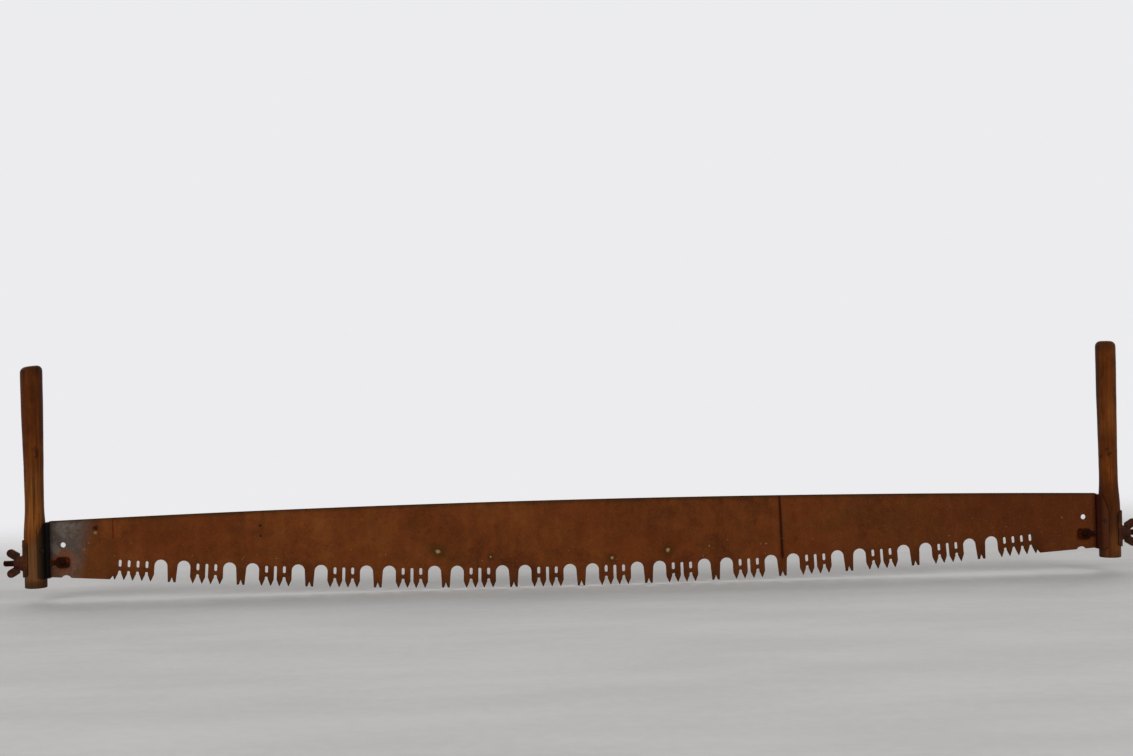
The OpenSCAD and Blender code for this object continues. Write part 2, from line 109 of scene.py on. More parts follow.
def ownCopy(source, pieceName):
    piece = bpy.data.objects.new(pieceName, source.data.copy())
    scene.collection.objects.link(piece)
    return piece


def closedCopy(nodeName, pieceName):           # a drawn solid's loose triangles, merged into one skin
    piece = ownCopy(nodes[nodeName], pieceName)
    pickMesh(piece)
    bpy.ops.mesh.remove_doubles(threshold=plan["mergeGap"])
    leaveMesh()
    return piece


def dress(piece, material):
    piece.data.materials.clear()
    piece.data.materials.append(material)


def held(share):                               # kept between 0 and 1
    return min(max(share, 0), 1)


# small helpers for material nodes

def srgb(red, green, blue):
    values = []
    for part in (red, green, blue):
        part = part / 255
        values.append(part / 12.92 if part <= 0.04045 else ((part + 0.055) / 1.055) ** 2.4)
    return (*values, 1)


def plug(tree, value, socket):
    if isinstance(value, bpy.types.NodeSocket):
        tree.links.new(value, socket)
    else:
        socket.default_value = value


def startMaterial(name, specular):
    material = bpy.data.materials.new(name)
    material.use_nodes = True
    tree = material.node_tree
    shader = tree.nodes["Principled BSDF"]
    shader.inputs["Specular IOR Level"].default_value = specular
    coords = tree.nodes.new("ShaderNodeTexCoord").outputs["Object"]
    return material, tree, shader, coords


def calc(tree, operation, first, second=0.0, third=0.0):
    made = tree.nodes.new("ShaderNodeMath")
    made.operation = operation
    for value, socket in zip((first, second, third), made.inputs):
        plug(tree, value, socket)
    return made.outputs[0]


def times(tree, *values):
    result = values[0]
    for value in values[1:]:
        result = calc(tree, "MULTIPLY", result, value)
    return result


def pushed(tree, value, cloud, reach):         # value plus cloud times reach
    return calc(tree, "MULTIPLY_ADD", cloud, reach, value)


def swayed(tree, value, cloud, reach):         # the same, to both sides of value
    return pushed(tree, value, calc(tree, "SUBTRACT", cloud, 0.5), reach)


def weighed(tree, base, values, shares):       # base plus the named values by their shares
    for name, share in shares.items():
        base = pushed(tree, base, values[name], share)
    return base


def rise(tree, value, low, high):              # 0 at low, 1 at high, whichever is the greater
    made = tree.nodes.new("ShaderNodeMapRange")
    made.interpolation_type = "SMOOTHSTEP"
    plug(tree, value, made.inputs["Value"])
    made.inputs["From Min"].default_value = min(low, high)
    made.inputs["From Max"].default_value = max(low, high)
    made.inputs["To Min"].default_value = 0 if low < high else 1
    made.inputs["To Max"].default_value = 1 if low < high else 0
    return made.outputs["Result"]


def axes(tree, coords):
    made = tree.nodes.new("ShaderNodeSeparateXYZ")
    tree.links.new(coords, made.inputs[0])
    return made.outputs


def joined(tree, x, y, z):
    made = tree.nodes.new("ShaderNodeCombineXYZ")
    for value, socket in zip((x, y, z), made.inputs):
        plug(tree, value, socket)
    return made.outputs[0]


def gapTo(tree, coords, spot):
    made = tree.nodes.new("ShaderNodeVectorMath")
    made.operation = "DISTANCE"
    tree.links.new(coords, made.inputs[0])
    made.inputs[1].default_value = spot
    return made.outputs["Value"]


def moved(tree, coords, scale=(1, 1, 1), place=(0, 0, 0), turn=(0, 0, 0)):
    made = tree.nodes.new("ShaderNodeMapping")
    tree.links.new(coords, made.inputs["Vector"])
    made.inputs["Location"].default_value = place
    made.inputs["Rotation"].default_value = turn
    made.inputs["Scale"].default_value = scale
    return made.outputs["Vector"]


def noise(tree, coords, scale=1, detail=5, roughness=0.55, distortion=0, move=None):
    made = tree.nodes.new("ShaderNodeTexNoise")
    tree.links.new(moved(tree, coords, **move) if move else coords, made.inputs["Vector"])
    made.inputs["Scale"].default_value = scale
    made.inputs["Detail"].default_value = detail
    made.inputs["Roughness"].default_value = roughness
    made.inputs["Distortion"].default_value = distortion
    return made.outputs["Fac"]


def clouds(tree, coords, kinds):
    return {name: noise(tree, coords, **kind) for name, kind in kinds.items()}


def ramp(tree, value, stops):
    made = tree.nodes.new("ShaderNodeValToRGB")
    plug(tree, value, made.inputs["Fac"])
    while len(made.color_ramp.elements) < len(stops):
        made.color_ramp.elements.new(0.5)
    for element, (position, colour) in zip(made.color_ramp.elements, stops):
        element.position = position
        element.color = colour
    return made.outputs["Color"]


def over(tree, amount, below, above):
    made = tree.nodes.new("ShaderNodeMix")
    made.data_type = "RGBA"
    plug(tree, amount, made.inputs[0])
    plug(tree, below, made.inputs[6])          # 6, 7 and output 2 are the colours
    plug(tree, above, made.inputs[7])
    return made.outputs[2]


def laid(tree, colour, mask, layer):           # a layer's tint, by its share of the mask
    return over(tree, times(tree, mask, layer["share"]), colour, layer["tint"])


def edged(tree, colour, value, layer, *within, cloud=None):    # laid where value is past the edge
    if cloud is not None:
        value = pushed(tree, value, cloud, layer["wobble"])
    return laid(tree, colour, times(tree, rise(tree, value, *layer["edge"]), *within), layer)


def layered(tree, coords, colour, layers, masks):              # each laid where its own noise is
    for name, layer in layers.items():
        masks[name] = rise(tree, noise(tree, coords, **layer["cloud"]), *layer["edge"])
        colour = laid(tree, colour, masks[name], layer)
    return colour


def roughen(tree, shader, height, strength, distance):
    made = tree.nodes.new("ShaderNodeBump")
    made.inputs["Strength"].default_value = strength
    made.inputs["Distance"].default_value = distance
    tree.links.new(height, made.inputs["Height"])
    tree.links.new(made.outputs["Normal"], shader.inputs["Normal"])


# camera at the photograph's angle, from far off and a little above the blade

cameraSet = {
    "place": (-0.1206, -2.4476, 0.3316),
    "yaw": math.radians(-2.439),
    "roll": math.radians(-1.339),
    "sensor": 36,
    "lens": 1535.3 / 1133 * 36,                # 1535.3 pixels in a picture 1133 pixels wide
    "nearest": 0.05,
    "farthest": 60,
}

clearPick()
bpy.ops.object.camera_add()
camera = bpy.context.object
camera.name = "photoCamera"
camera.data.sensor_width = cameraSet["sensor"]
camera.data.lens = cameraSet["lens"]
camera.data.clip_start = cameraSet["nearest"]
camera.data.clip_end = cameraSet["farthest"]
camera.matrix_world = (Matrix.Translation(cameraSet["place"])
                       @ Matrix.Rotation(cameraSet["yaw"], 4, "Z")
                       @ Matrix.Rotation(math.pi / 2, 4, "X")
                       @ Matrix.Rotation(cameraSet["roll"], 4, "Z"))
scene.camera = camera
print("camera set")


# pale floor that fades into a white surround, soft lamps all round

stageSet = {
    "floorSize": 10.0,
    "floorCuts": 7,
    "floorGap": 0.0002,
    "floorColour": srgb(196, 195, 193),
    # darker tone for the painted shade of cloth folds
    "foldShadeColour": srgb(186, 185, 183),
    "roughness": 0.9,
    "specular": 0.1,
    "clouds": {"foldShade": {"scale": 2.2, "detail": 3, "move": {"scale": (1.2, 4, 1)}},
               "weave": {"scale": 60, "detail": 3}},
    "toneShares": {"foldShade": 0.7, "weave": 0.3},
    "toneEdge": (0.3, 0.7),
    "farFade": (1.5, 0.35),
    "nearFade": (-4.0, -1.3),
    "sideFade": (3.4, 1.2),
    "surround": srgb(236, 236, 239),
    "worldLight": 0.42,
    "lampAim": (0, 0, 0.15),
    "lamps": [                                 # name, place, width, watts
        ("keyLampLeft", (-2.1, -2.3, 1.7), 1.6, 30),
        ("keyLampRight", (2.1, -2.3, 1.7), 1.6, 30),
        ("backLampLeft", (-1.9, 2.2, 1.8), 1.8, 26),
        ("backLampRight", (1.9, 2.2, 1.8), 1.8, 26),
    ],
}


def makeFloor(look):
    clearPick()
    under = (0, 0, cadBox[0].z - look["floorGap"])
    bpy.ops.mesh.primitive_plane_add(size=look["floorSize"], location=under)
    floor = bpy.context.object
    floor.name = "studioFloor"
    bpy.ops.object.mode_set(mode="EDIT")
    bpy.ops.mesh.subdivide(number_cuts=look["floorCuts"])
    leaveMesh()
    bpy.ops.object.transform_apply(location=True, rotation=True, scale=True)
    material, tree, shader, coords = startMaterial("paleCloth", look["specular"])
    shader.inputs["Roughness"].default_value = look["roughness"]
    # darker streaks on the flat floor: painted shade of cloth folds
    tone = weighed(tree, 0.0, clouds(tree, coords, look["clouds"]), look["toneShares"])
    colour = over(tree, rise(tree, tone, *look["toneEdge"]), look["foldShadeColour"], look["floorColour"])
    plug(tree, colour, shader.inputs["Base Color"])
    across, deep = axes(tree, coords)[:2]
    kept = times(tree, rise(tree, deep, *look["farFade"]), rise(tree, deep, *look["nearFade"]),
                 rise(tree, calc(tree, "ABSOLUTE", across), *look["sideFade"]))
    clear = tree.nodes.new("ShaderNodeBsdfTransparent")
    mixer = tree.nodes.new("ShaderNodeMixShader")
    plug(tree, calc(tree, "SUBTRACT", 1.0, kept), mixer.inputs[0])
    tree.links.new(shader.outputs[0], mixer.inputs[1])
    tree.links.new(clear.outputs[0], mixer.inputs[2])
    tree.links.new(mixer.outputs[0], tree.nodes["Material Output"].inputs["Surface"])
    dress(floor, material)


def makeSurround(look):
    world = bpy.data.worlds.new("studioSurround")
    scene.world = world
    world.use_nodes = True
    tree = world.node_tree
    light = tree.nodes["Background"]
    light.inputs["Color"].default_value = (1, 1, 1, 1)
    light.inputs["Strength"].default_value = look["worldLight"]
    seen = tree.nodes.new("ShaderNodeBackground")
    seen.inputs["Color"].default_value = look["surround"]
    seen.inputs["Strength"].default_value = 1
    path = tree.nodes.new("ShaderNodeLightPath")
    bounced = calc(tree, "MAXIMUM", path.outputs["Is Glossy Ray"], path.outputs["Is Transmission Ray"])
    looked = calc(tree, "MAXIMUM", path.outputs["Is Camera Ray"], bounced)
    mixer = tree.nodes.new("ShaderNodeMixShader")
    plug(tree, looked, mixer.inputs[0])
    tree.links.new(light.outputs[0], mixer.inputs[1])
    tree.links.new(seen.outputs[0], mixer.inputs[2])
    tree.links.new(mixer.outputs[0], tree.nodes["World Output"].inputs["Surface"])


def makeLamps(look):
    for name, place, width, watts in look["lamps"]:
        clearPick()
        bpy.ops.object.light_add(type="AREA", location=place)
        lamp = bpy.context.object
        lamp.name = name
        lamp.data.shape = "SQUARE"
        lamp.data.size = width
        lamp.data.energy = watts
        lamp.rotation_mode = "QUATERNION"
        lamp.rotation_quaternion = (Vector(look["lampAim"]) - Vector(place)).to_track_quat("-Z", "Y")


makeFloor(stageSet)
makeSurround(stageSet)
makeLamps(stageSet)
scene.view_settings.view_transform = "Standard"
print("stage and lamps set")


# brown rust of the blade, with its bare end, dark edges and old marks

rustPaint = {
    "dark": srgb(68, 34, 17),
    "brown": srgb(98, 50, 22),
    "warm": srgb(114, 60, 26),
    "pale": srgb(132, 76, 38),
    "olive": srgb(86, 54, 24),
    # dark tint for dirt, and for painted shade beside the guard
    "grimeAndShade": srgb(36, 23, 15),
}
# noises that two layers share
mottleCloud = {"scale": 24, "roughness": 0.6, "distortion": 0.5, "move": {"place": (2, 0, 6)}}
frayCloud = {"scale": 190, "roughness": 0.68, "distortion": 0.8, "move": {"place": (9, 0, 3)}}

bladeLook = {
    "specular": 0.03,
    "roughness": 0.6,
    "roughSpread": 0.3,
    "bump": 0.55,
    "bumpDepth": 0.0006,
    "relief": {"blotches": 0.5, "grit": 0.5, "pits": -0.3, "crack": -0.8, "hollows": -0.5, "scales": 0.35},
    "faceY": -0.001,                           # just inside the photographed face
    "faceShift": 2.7,                          # the two faces don't share one pattern
    "clouds": {
        "patches": {"scale": 6.5, "roughness": 0.6},
        "blotches": {"scale": 42, "detail": 7, "roughness": 0.65, "distortion": 0.4},
        "grit": {"scale": 420, "detail": 4, "roughness": 0.6},
        "streaks": {"detail": 4, "roughness": 0.6, "move": {"scale": (70, 1, 9)}},
    },
    "toneBase": 0.08,
    "toneShares": {"patches": 0.26, "blotches": 0.3, "grit": 0.16, "streaks": 0.12},
    "stops": [(0.38, rustPaint["dark"]), (0.47, rustPaint["brown"]), (0.54, rustPaint["warm"]),
              (0.66, rustPaint["pale"])],
    "stains": {
        "red": {"cloud": {"scale": 8, "detail": 4, "move": {"place": (3, 0, 1)}},
                "edge": (0.47, 0.64), "share": 0.4, "tint": srgb(102, 47, 20)},
        "olive": {"cloud": {"scale": 5, "detail": 4, "move": {"place": (7, 0, 4)}},
                  "edge": (0.5, 0.68), "share": 0.32, "tint": rustPaint["olive"]},
        "dullMottle": {"cloud": mottleCloud, "edge": (0.52, 0.66), "share": 0.26, "tint": rustPaint["olive"]},
        "warmMottle": {"cloud": mottleCloud, "edge": (0.47, 0.33), "share": 0.26, "tint": rustPaint["warm"]},
    },
    "rightEnd": {"wobble": 0.2, "edge": (0.45, 0.92), "share": 0.6, "tint": srgb(74, 34, 15)},
    "crust": {
        "pits": {"cloud": {"scale": 850, "detail": 2},
                 "edge": (0.58, 0.7), "share": 0.5, "tint": rustPaint["grimeAndShade"]},
        "scales": {"cloud": {"scale": 300, "detail": 6, "roughness": 0.7, "distortion": 0.6,
                             "move": {"place": (5, 0, 2)}},
                   "edge": (0.54, 0.66), "share": 0.38, "tint": rustPaint["pale"]},
        "hollows": {"cloud": frayCloud, "edge": (0.56, 0.7), "share": 0.42, "tint": rustPaint["dark"]},
    },
    "covered": {"edge": (-0.735, -0.739), "share": 0.1, "tint": rustPaint["olive"]},
    "bareEnd": {
        "edge": (-0.770, -0.804), "wobble": 0.03, "slope": -0.2, "share": 0.92, "speckLoss": -0.5,
        "dull": srgb(82, 75, 70), "clean": srgb(112, 106, 99), "cleanEdge": (0.4, 0.62),
        "metal": 0.5, "smoother": -0.22,
    },
    "scratches": {"cloud": {"detail": 2, "move": {"scale": (1500, 1, 60), "turn": (0, 0.5, 0)}},
                  "edge": (0.62, 0.7), "share": 0.2, "tint": srgb(146, 142, 134)},
    "specks": {"scale": 260, "detail": 6, "roughness": 0.7, "distortion": 0.7, "move": {"place": (4, 0, 8)}},
    "speckEdge": (0.5, 0.62),
    "bloom": {"wobble": 0.016, "edge": (0.034, 0.016), "rightShare": 0.15, "leftMore": 0.5,
              "tint": srgb(132, 68, 26)},
    # dirt and painted shade on the bare steel beside the guard
    "guardGrimeAndShade": {"edge": (-0.810, -0.834), "share": 0.4, "tint": rustPaint["grimeAndShade"]},
    "toothed": (0.757, 0.739),                 # how far out the teeth reach
    # the tooth zone darker: partly dark rust, partly painted shade
    "lowEdge": {"wobble": 0.02, "edge": (0.052, 0.016), "share": 0.38, "tint": srgb(50, 27, 14)},
    "tips": {"edge": (0.009, 0.001), "share": 0.4, "tint": rustPaint["grimeAndShade"]},
    "belly": {"wobble": 0.01, "edge": (0.062, 0.046), "share": 0.55, "tint": rustPaint["brown"]},
    "backBand": {"wobble": 0.008, "edge": (0.0125, 0.005), "share": 0.6, "tint": srgb(58, 38, 17)},
    "backLine": {"wobble": 0.001, "edge": (0.0026, 0.0012), "share": 0.6, "tint": rustPaint["grimeAndShade"]},
    "fray": frayCloud,
    "crack": {"x": 0.3205, "lean": 0.035, "sway": 0.002, "widening": -0.009, "end": (0.022, 0.034)},
    "crackStain": {"edge": (0.0048, 0.0008), "share": 0.5, "tint": srgb(64, 26, 10)},
    "crackCore": {"edge": (0.0020, 0.0006), "share": 0.85, "tint": srgb(40, 15, 8)},
    "redLine": {"x": -0.737, "fray": 0.003, "edge": (0.0016, 0.0007), "end": (0.036, 0.03),
                "share": 0.7, "tint": srgb(84, 20, 12)},
    "spots": [                                 # x, z, size, tint
        (-0.764, 0.113, 0.0056, srgb(54, 14, 10)),
        (-0.7645, 0.1055, 0.0036, srgb(140, 110, 84)),
        (-0.5065, 0.1095, 0.0030, srgb(34, 18, 12)),
        (-0.5065, 0.0935, 0.0030, srgb(38, 20, 12)),
    ],
    "spotFray": 1.6,
    "spotCore": 0.4,
    "spotShare": 0.85,
    "scatter": {"scale": 130, "detail": 3, "move": {"place": (1, 0, 9)}},
    "scatterEdge": (0.66, 0.74),
    "scatterLow": (0.032, 0.04),
    "scatterHigh": (0.075, 0.05),
    "scatterShare": 0.6,
    "flecks": [                                # x, z, size
        (-0.227, 0.061, 0.0104),
        (0.140, 0.053, 0.0094),
        (0.050, 0.043, 0.0064),
        (-0.144, 0.050, 0.0050),
    ],
    "fleck": {"wobble": 0.7, "fray": 0.5,
              "core": (1.05, 0.75), "coreShare": 0.85, "tint": srgb(168, 146, 106),
              "ring": (2.4, 1.1), "ringShare": 0.5, "ringTint": srgb(56, 40, 14)},
}


def rustedBlade(look):
    material, tree, shader, coords = startMaterial("brownRust", look["specular"])
    x, y, z = axes(tree, coords)
    xx = times(tree, x, x)
    backGap = calc(tree, "SUBTRACT", plan["backTop"], pushed(tree, z, xx, plan["backCurve"]))
    tipRise = calc(tree, "SUBTRACT", z, times(tree, xx, plan["toothCurve"]))
    front = calc(tree, "LESS_THAN", y, 0.0)
    place = joined(tree, x, times(tree, front, look["faceShift"]), z)

    masks = {}
    cloud = clouds(tree, place, look["clouds"])
    blotches = cloud["blotches"]
    tone = weighed(tree, look["toneBase"], cloud, look["toneShares"])
    colour = ramp(tree, tone, look["stops"])
    colour = layered(tree, place, colour, look["stains"], masks)
    colour = edged(tree, colour, x, look["rightEnd"], cloud=cloud["patches"])
    colour = layered(tree, place, colour, look["crust"], masks)

    # the left end was covered once: olive up to a line, then bare grey steel round the bolt
    colour = edged(tree, colour, x, look["covered"], front)
    end = look["bareEnd"]
    ragged = pushed(tree, pushed(tree, x, blotches, end["wobble"]), z, end["slope"])
    bare = times(tree, rise(tree, ragged, *end["edge"]), front)
    steel = over(tree, rise(tree, blotches, *end["cleanEdge"]), end["dull"], end["clean"])
    steel = layered(tree, place, steel, {"scratches": look["scratches"]}, masks)
    specks = rise(tree, noise(tree, place, **look["specks"]), *look["speckEdge"])
    steelShare = times(tree, bare, pushed(tree, end["share"], specks, end["speckLoss"]))
    colour = over(tree, steelShare, colour, steel)

    # orange bloom round the two bolts, most of it at the left
    bloom = look["bloom"]
    mirrored = joined(tree, calc(tree, "ABSOLUTE", x), 0.0, z)
    pinGap = gapTo(tree, mirrored, (plan["pinX"], 0, plan["boltHeight"]))
    bloomed = rise(tree, pushed(tree, pinGap, blotches, bloom["wobble"]), *bloom["edge"])
    bloomShare = pushed(tree, bloom["rightShare"], calc(tree, "LESS_THAN", x, 0.0), bloom["leftMore"])
    colour = over(tree, times(tree, bloomed, bloomShare), colour, bloom["tint"])

    # dirt and painted shade beside the guard, darker tooth points, lower edge and back edge
    colour = edged(tree, colour, x, look["guardGrimeAndShade"], bare)
    toothed = rise(tree, calc(tree, "ABSOLUTE", x), *look["toothed"])
    # lower edge darker: partly dark rust, partly painted shade
    colour = edged(tree, colour, tipRise, look["lowEdge"], toothed, cloud=blotches)
    colour = edged(tree, colour, tipRise, look["tips"], toothed)
    colour = edged(tree, colour, z, look["belly"], bare, cloud=blotches)
    colour = edged(tree, colour, backGap, look["backBand"], cloud=blotches)
    colour = edged(tree, colour, backGap, look["backLine"], cloud=cloud["grit"])

    # old crack from the back down to a raker, wider towards the teeth
    crack = look["crack"]
    lean = swayed(tree, pushed(tree, crack["x"], backGap, crack["lean"]), blotches, crack["sway"])
    crackGap = calc(tree, "ABSOLUTE", calc(tree, "SUBTRACT", x, lean))
    crackGap = pushed(tree, crackGap, backGap, crack["widening"])
    crackEnd = rise(tree, tipRise, *crack["end"])
    colour = edged(tree, colour, crackGap, look["crackStain"], crackEnd)
    masks["crack"] = times(tree, rise(tree, crackGap, *look["crackCore"]["edge"]), crackEnd)
    colour = laid(tree, colour, masks["crack"], look["crackCore"])

    # red line and spots on the photographed face
    fray = noise(tree, place, **look["fray"])
    red = look["redLine"]
    redGap = calc(tree, "ABSOLUTE", calc(tree, "SUBTRACT", x, swayed(tree, red["x"], fray, red["fray"])))
    colour = edged(tree, colour, redGap, red, rise(tree, backGap, *red["end"]), front)
    for spotX, spotZ, size, tint in look["spots"]:
        near = swayed(tree, gapTo(tree, coords, (spotX, look["faceY"], spotZ)), fray, size * look["spotFray"])
        spot = times(tree, rise(tree, near, size, size * look["spotCore"]), front, look["spotShare"])
        colour = over(tree, spot, colour, tint)

    # pale flecks above the gullets: a thin scatter, and a few large ones with dark rings
    scatter = rise(tree, noise(tree, place, **look["scatter"]), *look["scatterEdge"])
    flecks = times(tree, scatter, rise(tree, tipRise, *look["scatterLow"]),
                   rise(tree, tipRise, *look["scatterHigh"]), look["scatterShare"])
    fleck = look["fleck"]
    for fleckX, fleckZ, size in look["flecks"]:
        near = gapTo(tree, coords, (fleckX, look["faceY"], fleckZ))
        near = pushed(tree, near, blotches, size * fleck["wobble"])
        near = pushed(tree, near, fray, size * fleck["fray"])
        ring = rise(tree, near, *[size * part for part in fleck["ring"]])
        colour = over(tree, times(tree, ring, front, fleck["ringShare"]), colour, fleck["ringTint"])
        core = rise(tree, near, *[size * part for part in fleck["core"]])
        flecks = calc(tree, "MAXIMUM", flecks, times(tree, core, front, fleck["coreShare"]))
    colour = over(tree, flecks, colour, fleck["tint"])

    plug(tree, colour, shader.inputs["Base Color"])
    plug(tree, times(tree, steelShare, end["metal"]), shader.inputs["Metallic"])
    rough = pushed(tree, look["roughness"], blotches, look["roughSpread"])
    plug(tree, pushed(tree, rough, steelShare, end["smoother"]), shader.inputs["Roughness"])
    height = weighed(tree, 0.0, {**cloud, **masks}, look["relief"])
    roughen(tree, shader, height, look["bump"], look["bumpDepth"])
    return material


dress(nodes["blade"], rustedBlade(bladeLook))
print("blade rust made")


# worn varnished wood of the handles

woodPaint = {
    "deep": srgb(48, 20, 6),
    "brown": srgb(84, 40, 11),
    "red": srgb(102, 50, 14),
    "light": srgb(130, 72, 28),
    # dark tint for dirt, and for painted shade on the grip's sides
    "grimeAndShade": srgb(30, 17, 9),
}

woodLook = {
    "specular": 0.04,
    "roughness": 0.36,
    "roughSpread": 0.25,
    "wornRougher": 0.3,
    "bump": 0.4,
    "bumpDepth": 0.0005,
    "relief": {"grain": 0.6, "fibres": 0.3, "dents": -0.5, "pores": -0.4},
    "clouds": {
        "wander": {"scale": 9, "detail": 2},
        "grain": {"detail": 6, "roughness": 0.62, "distortion": 0.35, "move": {"scale": (230, 230, 7)}},
        "fibres": {"detail": 3, "roughness": 0.6, "move": {"scale": (900, 900, 22)}},
        "blotches": {"roughness": 0.6, "move": {"scale": (26, 26, 11)}},
        "stains": {"detail": 4, "distortion": 0.5, "move": {"scale": (48, 48, 30)}},
    },
    "toneShares": {"grain": 0.32, "blotches": 0.34, "stains": 0.24, "wander": 0.1},
    "stops": [(0.38, woodPaint["deep"]), (0.46, woodPaint["brown"]), (0.53, woodPaint["red"]),
              (0.64, woodPaint["light"])],
    "lines": {"edge": (0.58, 0.7), "share": 0.42, "tint": woodPaint["deep"]},
    "pores": {"cloud": {"detail": 2, "move": {"scale": (1300, 1300, 90)}},
              "edge": (0.62, 0.7), "share": 0.4, "tint": woodPaint["grimeAndShade"]},
    "sawn": {"edge": (0.8, 0.95), "share": 0.8},
    "rings": {"heart": (0.006, 0.004, 0), "wave": {"Scale": 110, "Distortion": 2.5, "Detail Scale": 1.6},
              "early": woodPaint["deep"], "late": woodPaint["brown"]},
    "front": {"wobble": 0.006, "edge": (0.001, -0.012)},
    "bare": {"lowFade": (0, 0.04), "highFade": (0.03, -0.05), "wobble": 0.06, "grain": (0.36, 0.6),
             "tint": srgb(142, 88, 40)},
    "grey": {"edge": (0.125, 0.095), "wobble": 0.03, "grain": (0.3, 0.55), "tint": srgb(112, 80, 50)},
    "dark": {"sway": 0.06, "fade": 0.02, "tint": woodPaint["deep"]},
    "dents": {"cloud": {"detail": 3, "move": {"scale": (60, 60, 40)}},
              "edge": (0.64, 0.72), "share": 0.6, "tint": woodPaint["grimeAndShade"]},
    # painted shade along both sides of the grip
    "flank": {"wobble": 0.005, "edge": (0.0145, 0.0185), "share": 0.55, "tint": woodPaint["grimeAndShade"]},
    "foot": {"wobble": 0.012, "edge": (0.046, 0.034), "tint": woodPaint["grimeAndShade"]},
    "top": {"wobble": 0.012, "edge": (0.352, 0.378), "share": 0.6, "tint": woodPaint["grimeAndShade"]},
    "left": {"seed": (0.3, 1.7, 0.2), "bareLow": 0.085, "bareHigh": 0.24, "bareShare": 0.68,
             "greyShare": 0.7, "darkLow": 0.25, "darkHigh": 0.40, "darkShare": 0.34, "footShare": 0.6},
    "right": {"seed": (4.1, 0.6, 2.3), "bareLow": 0.20, "bareHigh": 0.33, "bareShare": 0.2,
              "greyShare": 0.22, "darkLow": 0.06, "darkHigh": 0.15, "darkShare": 0.5, "footShare": 0.25},
}


def sawnRings(tree, coords, look):
    rings = tree.nodes.new("ShaderNodeTexWave")
    rings.wave_type = "RINGS"
    rings.rings_direction = "Z"
    tree.links.new(moved(tree, coords, place=look["heart"]), rings.inputs["Vector"])
    for name, value in look["wave"].items():
        rings.inputs[name].default_value = value
    return over(tree, rings.outputs["Fac"], look["early"], look["late"])


def wornWood(side, look):
    own = look[side]
    material, tree, shader, coords = startMaterial(side + "WornWood", look["specular"])
    centred = moved(tree, coords, place=(-sides[side] * plan["gripX"], 0, 0))
    x, y, z = axes(tree, centred)
    seeded = moved(tree, centred, place=own["seed"])
    masks = {}
    cloud = clouds(tree, seeded, look["clouds"])
    blotches = cloud["blotches"]
    tone = weighed(tree, 0.0, cloud, look["toneShares"])
    colour = ramp(tree, tone, look["stops"])
    colour = edged(tree, colour, cloud["fibres"], look["lines"])
    colour = layered(tree, seeded, colour, {"pores": look["pores"]}, masks)

    # end grain: rings on the two sawn ends
    normal = tree.nodes.new("ShaderNodeNewGeometry").outputs["Normal"]
    upright = calc(tree, "ABSOLUTE", axes(tree, normal)[2])
    endGrain = {**look["sawn"], "tint": sawnRings(tree, centred, look["rings"])}
    colour = edged(tree, colour, upright, endGrain)

    # varnish worn through on the front
    bare = look["bare"]
    front = rise(tree, pushed(tree, y, cloud["wander"], look["front"]["wobble"]), *look["front"]["edge"])
    low = rise(tree, z, *[own["bareLow"] + part for part in bare["lowFade"]])
    high = rise(tree, pushed(tree, z, blotches, bare["wobble"]),
                *[own["bareHigh"] + part for part in bare["highFade"]])
    worn = times(tree, front, low, high, rise(tree, cloud["grain"], *bare["grain"]), own["bareShare"])
    colour = over(tree, worn, colour, bare["tint"])

    # greyed wood at the lower end between the irons, and a stretch darkened by hands
    grey = {**look["grey"], "share": own["greyShare"]}
    colour = edged(tree, colour, z, grey, rise(tree, cloud["grain"], *grey["grain"]), cloud=blotches)
    dark = look["dark"]
    wavyZ = swayed(tree, z, blotches, dark["sway"])
    darkened = times(tree, rise(tree, wavyZ, own["darkLow"] - dark["fade"], own["darkLow"] + dark["fade"]),
                     rise(tree, wavyZ, own["darkHigh"] + dark["fade"], own["darkHigh"] - dark["fade"]))
    colour = over(tree, times(tree, darkened, own["darkShare"]), colour, dark["tint"])

    # dents, painted shade along both sides of the grip, and dirt at the ends
    colour = layered(tree, seeded, colour, {"dents": look["dents"]}, masks)
    colour = edged(tree, colour, calc(tree, "ABSOLUTE", x), look["flank"], cloud=blotches)
    colour = edged(tree, colour, z, {**look["foot"], "share": own["footShare"]}, cloud=blotches)
    colour = edged(tree, colour, z, look["top"], cloud=blotches)

    plug(tree, colour, shader.inputs["Base Color"])
    rough = pushed(tree, look["roughness"], blotches, look["roughSpread"])
    plug(tree, pushed(tree, rough, worn, look["wornRougher"]), shader.inputs["Roughness"])
    height = weighed(tree, 0.0, {**cloud, **masks}, look["relief"])
    roughen(tree, shader, height, look["bump"], look["bumpDepth"])
    return material


# iron and steel of the fittings: a dark skin with rust coming through

ironLook = {
    "clouds": {"broad": {"scale": 55, "roughness": 0.6, "distortion": 0.3},
               "fine": {"scale": 1400, "detail": 3, "roughness": 0.6}},
    "castRoughness": 0.65,
    "toneShares": {"broad": 0.55, "cast": 0.3, "fine": 0.15},
    "rustLow": (0.62, -0.25),                  # where rust starts, and the change with its share
    "rustHigh": (0.72, -0.2),                  # where it is full
    "speck": {"edge": (0.6, 0.72), "share": 0.4},
    "cheek": {"wobble": 0.002, "share": 0.85},
    "rubbed": {"edge": (0.51, 0.56), "broad": (0.35, 0.6), "share": 0.7},
    "metalLoss": -0.8,
    "rustRougher": 0.18,
    "skinSmoother": -0.08,
    "relief": {"cast": 0.6, "fine": 0.2, "broad": 0.3},
    "bumpDepth": 0.0005,
}

